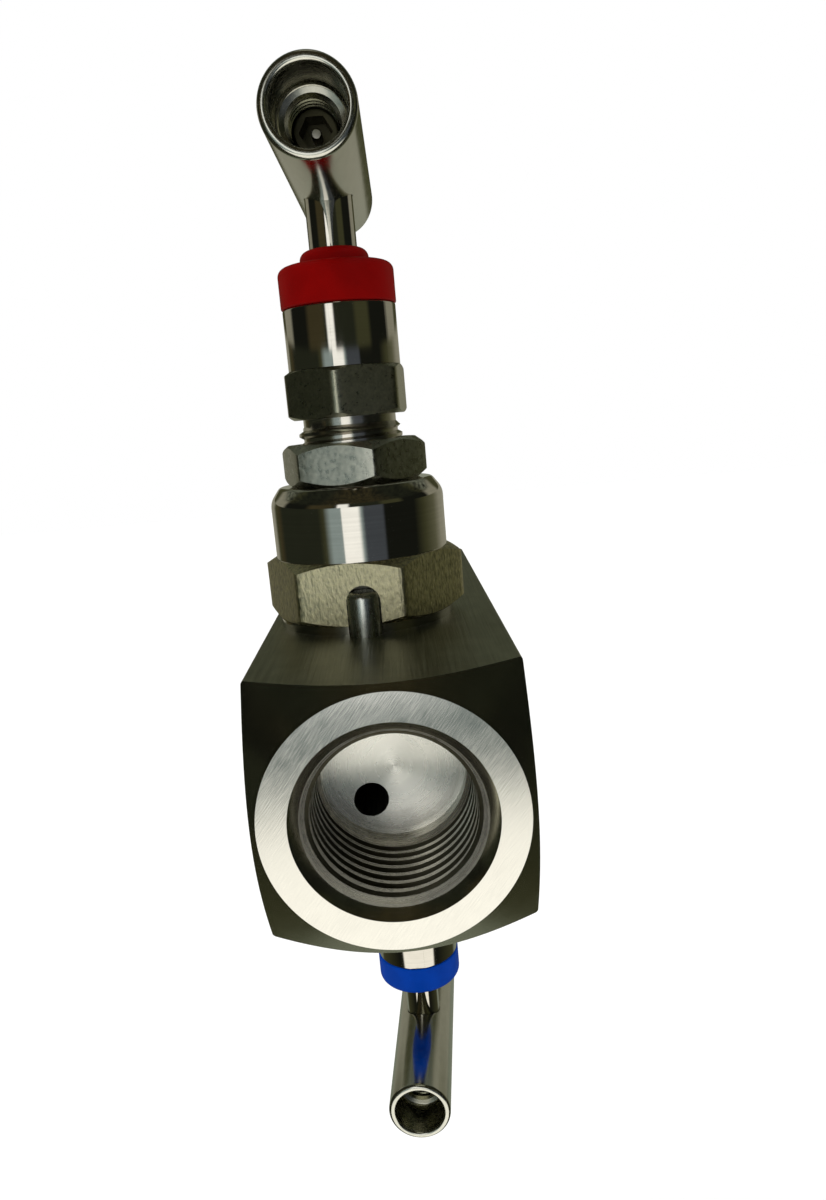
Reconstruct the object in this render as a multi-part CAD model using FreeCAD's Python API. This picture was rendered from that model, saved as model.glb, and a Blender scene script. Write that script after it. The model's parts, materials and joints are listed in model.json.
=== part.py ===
import FreeCAD, Part
import math
import os

# Two-valve block and bleed needle valve in a square steel bar.
#
# The origin is the centre of the front port's mouth. +Y runs into the bar along
# the port axis, +Z is up towards the vent valve, +X is the vent port's side.
# The vent valve stands on the top of the bar, near the front port. The block
# valve hangs under it, near the rear end. Both are the same valve, shown open.
# Each valve is worked out about its own axis first: the height above the port
# axis is its Z, and the handle bar lies along its Y.
# The rear end is a threaded nipple that screws into the pipe being tapped.

# Driving dimensions, in millimetres and degrees

# The square bar
bar_width = 32.0
bar_length = 96.0
long_edge_bevel = 0.35
end_face_dia = 30.5
end_cone_angle = 41.0

# The front port, half inch, 14 threads per inch
pipe_crest_r = 9.6
pipe_root_r = 10.45
pipe_bore_r = 9.15
pipe_mouth_r = 11.8
pipe_entry_r = 10.65
pipe_throat_r = 10.05
pipe_entry_depth = 2.3
pipe_run_out = 3.0
pipe_pitch = 25.4 / 14
pipe_port_depth = 16.3

# The rear nipple, half inch, the same pitch as the front port
nipple_crest_r = 10.67
nipple_root_r = 9.3
nipple_length = 20.0
nipple_neck_length = 2.4
nipple_nose_bevel = 1.4

# The vent port, quarter inch, 18 threads per inch
vent_crest_r = 5.6
vent_root_r = 6.4
vent_bore_r = 5.5
vent_mouth_r = 7.5
vent_entry_r = 6.85
vent_throat_r = 6.5
vent_entry_depth = 1.8
vent_run_out = 1.6
vent_pitch = 25.4 / 18
vent_web = 2.7

# What both thread forms share
thread_flank = 30.0
thread_root_flat = 0.12
thread_crest_flat = 0.8
port_floor_dish = 0.25

# Passages
flow_bore_r = 2.25
flow_bore_x = -3.2
flow_bore_z = -4.2
rear_bore_z = 3.0
vent_cross_r = 1.5
vent_cross_height = 3.5

# Where the two valves stand
vent_valve_y = 35.7
block_valve_y = 67.3
vent_valve_x = -2.1
block_valve_x = 0.0
vent_bar_turn = -1.0
block_bar_turn = 5.1

# Seat and valve chamber in the bar
seat_height = 1.5
orifice_r = 2.0
chamber_r = 3.4
cavity_depth = 7.8
boss_r = 9.0

# Bonnet
foot_r = 12.4
foot_thickness = 1.1
bonnet_flats = 24.6
bonnet_corner_r = 14.05
bonnet_hex_height = 8.4
bonnet_hex_turn = -7.4
barrel_r = 12.1
barrel_height = 9.7
barrel_shoulder_r = 10.7
barrel_shoulder_drop = 1.9
barrel_shoulder_round = 0.8
barrel_top_round = 0.4
guide_length = 3.9

# Bonnet seal and locking pin
seal_thickness = 0.8
seal_inner_r = 4.2
pin_r = 2.1
pin_ring_r = 12.4
pin_buried = 5.0
pin_stands = 5.7
pin_foot_round = 0.5
pin_top_round = 0.7
pin_slot_r = 2.45
pin_slot_top = 6.5
pin_slot_floor_r = 9.9

# Needle, the tip that doesn't turn
needle_r = 2.95
needle_point_r = 0.7
needle_half_angle = 30.0
needle_neck_r = 1.2
needle_neck_length = 1.05
needle_head_r = 1.9
needle_head_height = 1.95
needle_point_round = 0.2
needle_head_round = 0.5

# Spindle
spindle_thread_r = 3.95
spindle_thread_length = 4.2
spindle_thread_deep = 0.5
spindle_thread_lead = 0.8
spindle_end_round = 0.4
stem_end_round = 0.5
stem_r = 3.2
swivel_ring_r = 3.0
swivel_ring_thickness = 0.9
lift = 4.0
lift_pitch = 1.0

# Packing
packing_outer_r = 5.45
packing_washer = 1.0
packing_ring = 1.5
packing_rings = 3

# Gland, the packing adjuster
gland_nose_r = 5.35
gland_nose_length = 1.6
gland_thread_r = 7.15
gland_thread_pitch = 1.0
gland_thread_deep = 0.55
gland_thread_shows = 2.3
gland_thread_lead = 0.4
gland_neck_r = 6.4
gland_neck_length = 1.0
gland_flats = 15.3
gland_corner_r = 8.6
gland_hex_height = 6.5
gland_hex_turn = 22.0
gland_barrel_r = 7.65
gland_barrel_height = 8.0
gland_spigot_r = 6.3
gland_spigot_height = 3.4
gland_spigot_round = 0.5
gland_edge_round = 0.3
gland_core_in_hex = 0.5

# Lock nut
nut_flats = 18.3
nut_corner_r = 10.5
nut_height = 5.6
nut_turn = -13.0
nut_countersink = 0.65

# Dust cap
cap_r = 7.8
cap_height = 5.3
cap_edge_round = 0.9
cap_neck_r = 4.6
cap_neck_height = 2.0
cap_neck_round = 0.9
cap_skirt_round = 0.25
cap_corner_round = 0.2

# Handle bar and its screw
bar_r = 5.5
bar_half_length = 22.1
bar_end_round = 0.85
bar_lip_round = 0.32
bar_socket_r = 4.25
bar_socket_depth = 6.5
bar_socket_point = 1.2
bar_socket_round = 0.6
bar_over_cap = 1.6
stem_into_bar = 3.3
screw_r = 2.85
screw_set_in = 3.4
screw_socket_flats = 3.5
screw_socket_depth = 3.2
screw_pin_r = 0.7
screw_pin_below = 0.5
screw_point_bevel = 0.6
screw_end_round = 0.4

# Clearances
run_gap = 0.05
fit_gap = 0.05
end_gap = 0.1
stop_gap = 0.2
hex_bevel_angle = 30.0

# How far a cutter runs past the surface that it opens
overrun = 1.0

# Heights above the port axis that follow, with the valve shut
bar_half = bar_width / 2
cavity_floor = bar_half - cavity_depth
boss_base = cavity_floor + seal_thickness
hex_base = bar_half + foot_thickness
barrel_base = hex_base + bonnet_hex_height
bonnet_top = barrel_base + barrel_height
guide_top = boss_base + guide_length
spindle_base = guide_top + stop_gap
spindle_thread_top = spindle_base + spindle_thread_length
packing_floor = spindle_thread_top + lift + stop_gap
rings_base = packing_floor + packing_washer
rings_top = rings_base + packing_rings * packing_ring
gland_base = rings_top + packing_washer
gland_shoulder = gland_base + gland_nose_length
nut_top = bonnet_top + nut_height
gland_thread_top = nut_top + gland_thread_shows
gland_hex_base = gland_thread_top + gland_neck_length
gland_barrel_base = gland_hex_base + gland_hex_height
cap_base = gland_barrel_base + gland_barrel_height
cap_top = cap_base + cap_height
cap_neck_top = cap_top + cap_neck_height
bar_axis_shut = cap_neck_top + bar_over_cap + bar_r
needle_slope = 1 / math.tan(math.radians(needle_half_angle))
needle_cone_top = seat_height + (needle_r - orifice_r) * needle_slope + fit_gap
needle_point = needle_cone_top - (needle_r - needle_point_r) * needle_slope
needle_shoulder = spindle_base - end_gap
bar_tail = bar_length + nipple_length

Z_AXIS = FreeCAD.Vector(0, 0, 1)
NO_TURN = FreeCAD.Rotation()


def wire_of(points):
    """Closed outline in the XZ plane through (radius, height, rounding) corners."""
    edges = []
    ends = []
    count = len(points)
    for i in range(count):
        corner = FreeCAD.Vector(points[i][0], 0, points[i][1])
        rounding = points[i][2] if len(points[i]) > 2 else 0.0
        if rounding == 0:
            ends.append((corner, corner))
            continue
        before = FreeCAD.Vector(points[i - 1][0], 0, points[i - 1][1])
        after = FreeCAD.Vector(points[(i + 1) % count][0], 0, points[(i + 1) % count][1])
        back = (before - corner).normalize()
        ahead = (after - corner).normalize()
        half = back.getAngle(ahead) / 2
        reach = rounding / math.tan(half)
        first = corner + back * reach
        last = corner + ahead * reach
        bisector = (back + ahead).normalize()
        middle = corner + bisector * (rounding / math.sin(half) - rounding)
        edges.append(Part.Arc(first, middle, last).toShape())
        ends.append((first, last))
    for i in range(count):
        start = ends[i][1]
        stop = ends[(i + 1) % count][0]
        if start.distanceToPoint(stop) > 1e-6:
            edges.append(Part.LineSegment(start, stop).toShape())
    return Part.Wire(Part.__sortEdges__(edges))


def turned(points):
    """Solid turned about Z from a closed outline of (radius, height, rounding)."""
    return Part.Face(wire_of(points)).revolve(FreeCAD.Vector(0, 0, 0), Z_AXIS, 360)


def rod(radius, low, high):
    """Plain cylinder on Z from one height to another."""
    return Part.makeCylinder(radius, high - low, FreeCAD.Vector(0, 0, low))


def ring(inner, outer, low, high):
    """Plain ring on Z."""
    return turned([(inner, low), (outer, low), (outer, high), (inner, high)])


def moved(shape, base, rotation=NO_TURN):
    """Copy of a shape, turned and then shifted."""
    copy = shape.copy()
    copy.Placement = FreeCAD.Placement(base, rotation).multiply(copy.Placement)
    return copy


def about_z(shape, angle):
    """Copy of a shape turned about Z."""
    return moved(shape, FreeCAD.Vector(0, 0, 0), FreeCAD.Rotation(Z_AXIS, angle))


def hexagon(flats, corner_r, low, high, turn):
    """Hexagon bar with a flat square to -Y, its corners turned off and bevelled."""
    sharp_r = flats / math.sqrt(3)
    corners = []
    for i in range(6):
        angle = math.radians(60 * i + turn)
        corners.append(FreeCAD.Vector(sharp_r * math.cos(angle), sharp_r * math.sin(angle), low))
    prism = Part.Face(Part.makePolygon(corners + corners[:1])).extrude(Z_AXIS * (high - low))
    land_r = flats / 2 - fit_gap
    bevel = (corner_r - land_r) * math.tan(math.radians(hex_bevel_angle))
    envelope = turned([
        (0, low), (land_r, low), (corner_r, low + bevel),
        (corner_r, high - bevel), (land_r, high), (0, high),
    ])
    return prism.common(envelope)


def groove_points(crest, root, first, pitch, count, outward):
    """Corners of ring grooves along a wall, heights rising, root beyond the crest."""
    deep = abs(root - crest)
    half = deep * math.tan(math.radians(thread_flank)) + thread_root_flat / 2
    points = []
    for i in range(count):
        middle = first + i * pitch
        points.append((crest, middle - half))
        points.append((crest + outward * deep, middle - thread_root_flat / 2))
        points.append((crest + outward * deep, middle + thread_root_flat / 2))
        points.append((crest, middle + half))
    return points


def port_cutter(crest, root, bore, mouth, entry, throat, entry_depth, pitch, run_out, depth):
    """Threaded blind port as a solid to cut, mouth at height 0, going down -Z."""
    flank = math.tan(math.radians(thread_flank))
    thread_start = entry_depth + (throat - crest) * flank
    lead = thread_start + thread_crest_flat + (root - crest) * flank + thread_root_flat / 2
    count = int((depth - run_out - lead) / pitch) + 1
    thread_end = lead + (count - 1) * pitch + pitch / 2
    outline = [(0, -overrun), (mouth + overrun, -overrun), (entry, mouth - entry), (throat, entry_depth),
               (crest, thread_start)]
    outline += groove_points(crest, root, lead, pitch, count, 1)
    outline += [(crest, thread_end), (bore, thread_end + crest - bore), (bore, depth),
                (0, depth + port_floor_dish)]
    return moved(turned(outline), FreeCAD.Vector(0, 0, 0), FreeCAD.Rotation(FreeCAD.Vector(1, 0, 0), 180))


def front_port():
    """The half inch port."""
    return port_cutter(pipe_crest_r, pipe_root_r, pipe_bore_r, pipe_mouth_r, pipe_entry_r, pipe_throat_r,
                       pipe_entry_depth, pipe_pitch, pipe_run_out, pipe_port_depth)


def rear_nipple():
    """Half inch threaded nipple, its root at height 0, going up Z."""
    thread_end = nipple_length - nipple_nose_bevel
    first = nipple_neck_length + 1.5 * pipe_pitch
    count = int((thread_end - first) / pipe_pitch - 0.5) + 1
    outline = [(0, -overrun), (nipple_root_r, -overrun), (nipple_root_r, nipple_neck_length),
               (nipple_crest_r, nipple_neck_length + nipple_crest_r - nipple_root_r)]
    outline += groove_points(nipple_crest_r, nipple_root_r, first, pipe_pitch, count, -1)
    outline += [(nipple_crest_r, thread_end), (nipple_crest_r - nipple_nose_bevel, nipple_length),
                (0, nipple_length)]
    return turned(outline)


def vent_port_depth():
    """Depth that leaves the web between the vent port and the vent chamber."""
    return bar_half - (vent_valve_x + chamber_r + vent_web)


def vent_port():
    """The quarter inch port in the side."""
    return port_cutter(vent_crest_r, vent_root_r, vent_bore_r, vent_mouth_r, vent_entry_r, vent_throat_r,
                       vent_entry_depth, vent_pitch, vent_run_out, vent_port_depth())


def out_along(direction):
    """Rotation that lays local +Z along a direction."""
    return FreeCAD.Rotation(Z_AXIS, direction)


def bore(start, stop, radius):
    """Round passage between two points."""
    way = stop - start
    return Part.makeCylinder(radius, way.Length, start, way)


def valve_frames():
    """Name, placement and handle turn of each valve."""
    upright = FreeCAD.Placement(FreeCAD.Vector(vent_valve_x, vent_valve_y, 0), NO_TURN)
    hanging = FreeCAD.Placement(FreeCAD.Vector(block_valve_x, block_valve_y, 0),
                                FreeCAD.Rotation(FreeCAD.Vector(0, 1, 0), 180))
    return (("vent", upright, vent_bar_turn), ("block", hanging, block_bar_turn))


def valve_seat_cutter(orifice_floor):
    """Bonnet hole, chamber, orifice and pin hole of one valve, to cut from the bar."""
    hole = rod(boss_r + fit_gap, cavity_floor, bar_half + overrun)
    hole = hole.fuse(rod(chamber_r, seat_height, cavity_floor + overrun))
    hole = hole.fuse(rod(orifice_r, orifice_floor, seat_height + overrun))
    pin_hole = moved(rod(pin_r + run_gap, bar_half - pin_buried, bar_half + overrun),
                     FreeCAD.Vector(0, -pin_ring_r, 0))
    return hole.fuse(pin_hole)


def bar_blank():
    """Square bar with bevelled long edges and coned ends."""
    corner = FreeCAD.Vector(-bar_half, 0, -bar_half)
    stock = Part.makeBox(bar_width, bar_length, bar_width, corner)
    long_edges = [e for e in stock.Edges if abs(e.tangentAt(e.FirstParameter).y) > 0.9]
    stock = stock.makeChamfer(long_edge_bevel, long_edges)
    face_r = end_face_dia / 2
    wide_r = bar_width
    back = (wide_r - face_r) * math.tan(math.radians(end_cone_angle))
    envelope = turned([(0, 0), (face_r, 0), (wide_r, back),
                       (wide_r, bar_length - back), (face_r, bar_length), (0, bar_length)])
    envelope = moved(envelope, FreeCAD.Vector(0, 0, 0), out_along(FreeCAD.Vector(0, 1, 0)))
    return stock.common(envelope)


def valve_body():
    """The bar with its nipple, ports, valve holes and passages."""
    vector = FreeCAD.Vector
    solid = bar_blank()
    solid = solid.fuse(moved(rear_nipple(), vector(0, bar_length, 0), out_along(vector(0, 1, 0))))
    solid = solid.cut(moved(front_port(), vector(0, 0, 0), out_along(vector(0, -1, 0))))
    solid = solid.cut(moved(vent_port(), vector(bar_half, vent_valve_y, 0), out_along(vector(1, 0, 0))))
    floors = {"vent": flow_bore_z, "block": -rear_bore_z}
    for name, frame, turn in valve_frames():
        cutter = valve_seat_cutter(floors[name])
        cutter.Placement = frame
        solid = solid.cut(cutter)
    flow_start = vector(flow_bore_x, pipe_port_depth - overrun, flow_bore_z)
    solid = solid.cut(bore(flow_start, vector(flow_bore_x, block_valve_y, flow_bore_z), flow_bore_r))
    rear_start = vector(block_valve_x, bar_tail + overrun, rear_bore_z)
    solid = solid.cut(bore(rear_start, vector(block_valve_x, block_valve_y, rear_bore_z), flow_bore_r))
    cross_start = vector(bar_half - vent_port_depth() + overrun, vent_valve_y, vent_cross_height)
    return solid.cut(bore(cross_start, vector(vent_valve_x, vent_valve_y, vent_cross_height), vent_cross_r))


def bonnet():
    """Screwed-in valve housing with its hexagon, barrel and pin slot."""
    outer = rod(boss_r, boss_base, bar_half)
    outer = outer.fuse(rod(foot_r, bar_half, hex_base))
    outer = outer.fuse(hexagon(bonnet_flats, bonnet_corner_r, hex_base, barrel_base, bonnet_hex_turn))
    barrel = turned([
        (0, barrel_base), (barrel_r, barrel_base),
        (barrel_r, bonnet_top - barrel_shoulder_drop, barrel_shoulder_round),
        (barrel_shoulder_r, bonnet_top, barrel_top_round), (0, bonnet_top),
    ])
    outer = outer.fuse(barrel)
    slot_arch = bar_half + pin_slot_top - pin_slot_r
    reach = bonnet_corner_r - pin_slot_floor_r + overrun
    arch = Part.makeCylinder(pin_slot_r, reach, FreeCAD.Vector(0, -pin_slot_floor_r, slot_arch),
                             FreeCAD.Vector(0, -1, 0))
    slot = Part.makeBox(2 * pin_slot_r, reach, slot_arch - bar_half + overrun,
                        FreeCAD.Vector(-pin_slot_r, -pin_slot_floor_r - reach, bar_half - overrun))
    outer = outer.cut(arch.fuse(slot))
    guide_r = needle_r + run_gap
    thread_r = spindle_thread_r + run_gap
    packing_r = packing_outer_r + fit_gap
    gland_r = gland_thread_r + fit_gap
    gland_seat = gland_shoulder - stop_gap
    inner = turned([
        (0, boss_base - overrun), (guide_r, boss_base - overrun), (guide_r, guide_top),
        (thread_r, guide_top), (thread_r, packing_floor), (packing_r, packing_floor),
        (packing_r, gland_seat), (gland_r, gland_seat), (gland_r, bonnet_top + overrun),
        (0, bonnet_top + overrun),
    ])
    return outer.cut(inner).removeSplitter()


def bonnet_seal():
    """Flat ring between the bonnet and the floor of its hole."""
    return ring(seal_inner_r, boss_r - fit_gap, cavity_floor, boss_base)


def lock_pin():
    """Dowel that stops the bonnet from turning."""
    foot = bar_half - pin_buried
    top = bar_half + pin_stands
    dowel = turned([(0, foot), (pin_r, foot, pin_foot_round), (pin_r, top, pin_top_round), (0, top)])
    return moved(dowel, FreeCAD.Vector(0, -pin_ring_r, 0))


def needle():
    """Lower spindle that slides but doesn't turn, with its cone and swivel head."""
    neck_top = needle_shoulder + needle_neck_length
    head_top = neck_top + needle_head_height
    return turned([
        (0, needle_point), (needle_point_r, needle_point, needle_point_round), (needle_r, needle_cone_top),
        (needle_r, needle_shoulder), (needle_neck_r, needle_shoulder), (needle_neck_r, neck_top),
        (needle_head_r, neck_top), (needle_head_r, head_top, needle_head_round), (0, head_top),
    ])


def swivel_ring():
    """Ring in the spindle's end that holds the needle's head."""
    top = spindle_base + swivel_ring_thickness
    return ring(needle_neck_r + run_gap, swivel_ring_r, spindle_base, top)


def spindle():
    """Threaded upper spindle and stem, one piece up to the handle bar."""
    pocket_floor = spindle_base + swivel_ring_thickness
    pocket_top = needle_shoulder + needle_neck_length + needle_head_height + end_gap
    stem_top = bar_axis_shut + stem_into_bar
    count = int((spindle_thread_length - 2 * spindle_thread_lead) / lift_pitch) + 1
    grooves = groove_points(spindle_thread_r, spindle_thread_r - spindle_thread_deep,
                            spindle_base + spindle_thread_lead, lift_pitch, count, -1)
    pocket_r = needle_head_r + run_gap
    ring_seat_r = swivel_ring_r + fit_gap
    outline = [(0, pocket_top), (pocket_r, pocket_top), (pocket_r, pocket_floor),
               (ring_seat_r, pocket_floor), (ring_seat_r, spindle_base),
               (spindle_thread_r, spindle_base)]
    outline += grooves
    outline += [(spindle_thread_r, spindle_thread_top, spindle_end_round), (stem_r, spindle_thread_top),
                (stem_r, stem_top, stem_end_round), (0, stem_top)]
    return turned(outline)


def packing_washer_at(low):
    """Steel washer under or over the packing."""
    return ring(stem_r + 2 * run_gap, packing_outer_r, low, low + packing_washer)


def packing_ring_at(index):
    """One packing ring of the stack."""
    low = rings_base + index * packing_ring
    return ring(stem_r + run_gap, packing_outer_r, low, low + packing_ring)


def gland():
    """Packing adjuster: nose, thread, neck, hexagon, barrel and spigot."""
    bore_r = stem_r + 2 * run_gap
    first = gland_shoulder + gland_thread_pitch
    count = int((gland_thread_top - first - gland_thread_lead) / gland_thread_pitch) + 1
    root_r = gland_thread_r - gland_thread_deep
    outline = [(bore_r, gland_base), (gland_nose_r, gland_base), (gland_nose_r, gland_shoulder),
               (gland_thread_r, gland_shoulder)]
    outline += groove_points(gland_thread_r, root_r, first, gland_thread_pitch, count, -1)
    spigot_top = cap_base + gland_spigot_height
    outline += [(gland_thread_r, gland_thread_top), (gland_neck_r, gland_thread_top, gland_edge_round),
                (gland_neck_r, gland_barrel_base - gland_core_in_hex),
                (gland_barrel_r, gland_barrel_base - gland_core_in_hex),
                (gland_barrel_r, cap_base, gland_edge_round), (gland_spigot_r, cap_base),
                (gland_spigot_r, spigot_top, gland_spigot_round), (bore_r, spigot_top)]
    core = turned(outline)
    head = hexagon(gland_flats, gland_corner_r, gland_hex_base, gland_barrel_base, gland_hex_turn)
    head = head.cut(rod(bore_r, gland_hex_base - overrun, gland_barrel_base + overrun))
    return core.fuse(head).removeSplitter()


def lock_nut():
    """Thin nut that locks the gland on the bonnet."""
    nut = hexagon(nut_flats, nut_corner_r, bonnet_top, nut_top, nut_turn)
    hole_r = gland_thread_r + fit_gap
    wide_r = hole_r + 2 * nut_countersink
    hole = turned([
        (0, bonnet_top - nut_countersink), (wide_r, bonnet_top - nut_countersink),
        (hole_r, bonnet_top + nut_countersink), (hole_r, nut_top - nut_countersink),
        (wide_r, nut_top + nut_countersink), (0, nut_top + nut_countersink),
    ])
    return nut.cut(hole)


def dust_cap():
    """Coloured cap that sits over the gland's spigot, with a neck round the stem."""
    bore_r = stem_r + 2 * run_gap
    roof = cap_base + gland_spigot_height + fit_gap
    return turned([
        (gland_spigot_r + fit_gap, cap_base), (cap_r, cap_base, cap_skirt_round),
        (cap_r, cap_top, cap_edge_round), (cap_neck_r, cap_top, cap_corner_round),
        (cap_neck_r, cap_neck_top, cap_neck_round), (bore_r, cap_neck_top),
        (bore_r, roof), (gland_spigot_r + fit_gap, roof),
    ])


def handle_bar(turn):
    """Round cross bar with an end socket each side and a tapped hole to the stem."""
    half = bar_half_length
    floor = half - bar_socket_depth
    lip = [(bar_socket_r, half, bar_lip_round), (bar_r, half, bar_end_round)]
    hole_r = screw_r + fit_gap
    outline = [(0, floor - bar_socket_point), (bar_socket_r, floor, bar_socket_round)] + lip
    outline += [(bar_r, -half, bar_end_round), (bar_socket_r, -half, bar_lip_round),
                (bar_socket_r, -floor, bar_socket_round), (hole_r, -floor + bar_socket_round),
                (hole_r, 0), (0, 0)]
    bar = moved(turned(outline), FreeCAD.Vector(0, 0, bar_axis_shut), out_along(FreeCAD.Vector(0, 1, 0)))
    hole_top = bar_axis_shut + stem_into_bar + fit_gap
    bar = bar.cut(rod(stem_r + fit_gap, bar_axis_shut - bar_r - overrun, hole_top))
    return about_z(bar, turn)


def handle_screw(turn):
    """Socket screw in the bar that grips the stem, with a pin standing in its socket."""
    outer_end = bar_half_length - bar_socket_depth - screw_set_in
    seat = stem_r + fit_gap
    body = turned([(0, seat), (screw_r - screw_point_bevel, seat), (screw_r, seat + screw_point_bevel),
                   (screw_r, outer_end, screw_end_round), (0, outer_end)])
    sharp_r = screw_socket_flats / math.sqrt(3)
    corners = []
    for i in range(6):
        angle = math.radians(60 * i + 30)
        x = sharp_r * math.cos(angle)
        y = sharp_r * math.sin(angle)
        corners.append(FreeCAD.Vector(x, y, outer_end + overrun))
    depth = screw_socket_depth + overrun
    socket = Part.Face(Part.makePolygon(corners + corners[:1])).extrude(Z_AXIS * -depth)
    pin = rod(screw_pin_r, outer_end - depth, outer_end - screw_pin_below)
    body = body.cut(socket.cut(pin))
    body = moved(body, FreeCAD.Vector(0, 0, bar_axis_shut), out_along(FreeCAD.Vector(0, -1, 0)))
    return about_z(body, turn)


def still_pieces():
    """Pieces of one valve that stay with the bar."""
    pieces = {
        "bonnet": bonnet(),
        "bonnet_seal": bonnet_seal(),
        "lock_pin": lock_pin(),
        "packing_washer": packing_washer_at(packing_floor),
        "thrust_washer": packing_washer_at(rings_top),
        "gland": gland(),
        "lock_nut": lock_nut(),
        "dust_cap": dust_cap(),
    }
    for index in range(packing_rings):
        pieces["packing_ring_%d" % (index + 1)] = packing_ring_at(index)
    return pieces


def moving_pieces(bar_turn):
    """Pieces of one valve that rise and turn with the handle, valve shut."""
    return {
        "needle": needle(),
        "swivel_ring": swivel_ring(),
        "spindle": spindle(),
        "handle_bar": handle_bar(bar_turn),
        "handle_screw": handle_screw(bar_turn),
    }


def write(name, shape):
    """Write one piece, after checking that it is one sound solid."""
    if shape.ShapeType != "Solid":
        if len(shape.Solids) != 1:
            raise ValueError("%s has %d solids" % (name, len(shape.Solids)))
        shape = shape.Solids[0]
    if not shape.isValid():
        raise ValueError("%s is not a valid solid" % name)
    shape.exportStep(os.path.join("parts", name + ".step"))


os.makedirs("parts", exist_ok=True)
write("valve_body", valve_body())
raised = FreeCAD.Placement(FreeCAD.Vector(0, 0, lift), NO_TURN)
for valve, frame, bar_turn in valve_frames():
    for piece, shape in still_pieces().items():
        shape.Placement = frame.multiply(shape.Placement)
        write("%s_%s" % (valve, piece), shape)
    for piece, shape in moving_pieces(bar_turn).items():
        shape.Placement = frame.multiply(raised).multiply(shape.Placement)
        write("%s_%s" % (valve, piece), shape)
print("bonnet top", bonnet_top, "cap", cap_base, cap_top, cap_neck_top)
print("bar axis, valve open", bar_axis_shut + lift)
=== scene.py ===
# %% [markdown]
# # A block and bleed needle valve, dressed for its portrait
#
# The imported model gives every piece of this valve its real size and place. This
# lesson builds the surfaces that the eye meets on top of it: a ground square bar,
# two polished bonnets with hexagons, threaded glands, coloured dust caps, mirror
# bright stems and two T handles. Nothing is moved. A new piece is drawn where the
# packed one lies, rides on the same body, and stands for it.

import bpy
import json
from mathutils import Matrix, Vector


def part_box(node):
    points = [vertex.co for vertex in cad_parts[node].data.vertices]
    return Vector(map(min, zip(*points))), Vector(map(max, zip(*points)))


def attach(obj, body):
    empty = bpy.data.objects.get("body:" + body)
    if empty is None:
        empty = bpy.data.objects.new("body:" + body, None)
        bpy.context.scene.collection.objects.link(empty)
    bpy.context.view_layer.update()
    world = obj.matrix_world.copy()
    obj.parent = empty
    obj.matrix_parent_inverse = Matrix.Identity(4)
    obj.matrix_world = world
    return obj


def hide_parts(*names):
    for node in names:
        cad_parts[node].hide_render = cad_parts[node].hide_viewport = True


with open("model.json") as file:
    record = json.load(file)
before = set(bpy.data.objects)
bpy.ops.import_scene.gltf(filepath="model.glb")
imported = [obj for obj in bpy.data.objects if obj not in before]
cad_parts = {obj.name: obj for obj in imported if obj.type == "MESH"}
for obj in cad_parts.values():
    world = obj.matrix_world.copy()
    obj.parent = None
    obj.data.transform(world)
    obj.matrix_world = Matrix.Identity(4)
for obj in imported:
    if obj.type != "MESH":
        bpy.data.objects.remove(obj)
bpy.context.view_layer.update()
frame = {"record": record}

# %% The helpers that everything below needs
import json
import math

import bmesh
import bpy
import numpy as np
from mathutils import Matrix, Vector

mm = 0.001
merge_gap = 0.0002 * mm
full_turn = 2 * math.pi
scene = bpy.context.scene
scene.view_settings.view_transform = "Standard"

# %% [markdown]
# ## Where things stand
#
# The two valves are one design: the vent valve stands on the bar and the block
# valve hangs under it. So each piece is drawn once, about its own stem, with its
# height counted from the port axis, and is then stood up or turned over. The
# heights that one piece shares with the next are read from the frame's boxes, so
# they can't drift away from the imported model.

# %% Heights and axes from the frame
def low(node):
    """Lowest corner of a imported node, in millimetres."""
    return np.array(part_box(node)[0]) / mm


def high(node):
    """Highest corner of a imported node, in millimetres."""
    return np.array(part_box(node)[1]) / mm


def centre(node):
    """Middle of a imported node's box, in millimetres."""
    return (low(node) + high(node)) / 2


bar_half = float(round(high("valve_body")[0], 3))
bar_tail = high("valve_body")[1]
nut_base = low("vent_lock_nut")[2]
nut_top = high("vent_lock_nut")[2]
cap_base = low("vent_dust_cap")[2]
cap_top = high("vent_dust_cap")[2]
handle_axis = centre("vent_handle_bar")[2]
bonnet_foot = low("vent_bonnet")[2]
gland_foot = low("vent_gland")[2]
spindle_foot = low("vent_spindle")[2]
spindle_top = high("vent_spindle")[2]
pin_foot = low("vent_lock_pin")[2]
pin_top = high("vent_lock_pin")[2]
print("bonnet top %.2f, cap %.2f to %.2f, handle axis %.2f" % (nut_base, cap_base, cap_top, handle_axis))

# %% How a valve is stood up or turned over
valves = {
    "vent": {"centre": centre("vent_lock_nut"), "up": 1, "handle_turn": -1.0},
    "block": {"centre": centre("block_lock_nut"), "up": -1, "handle_turn": 5.1},
}


def stand(points, valve, turn=0.0):
    """Put points drawn about a stem into the frame, in metres.

    A turn about the stem comes first. The hanging valve is then turned half way
    round the Y axis, (x, y, z) to (-x, y, -z), and both are moved to their stem.
    """
    c, s = math.cos(math.radians(turn)), math.sin(math.radians(turn))
    x = c * points[..., 0] - s * points[..., 1]
    y = s * points[..., 0] + c * points[..., 1]
    up = valves[valve]["up"]
    place = valves[valve]["centre"]
    return np.stack([up * x + place[0], y + place[1], up * points[..., 2]], axis=-1) * mm


print({name: np.round(v["centre"], 2).tolist() for name, v in valves.items()})

# %% [markdown]
# ## Surfaces from outlines
#
# Nearly every piece of a valve comes off a lathe, so the first tool is an outline
# of corners, each with its own rounding, carried round an axis. A grid of points
# goes straight into a mesh with `foreach_set`, which is far quicker than adding
# faces one at a time, and equal points are merged so that the poles and the seams
# close.

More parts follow.
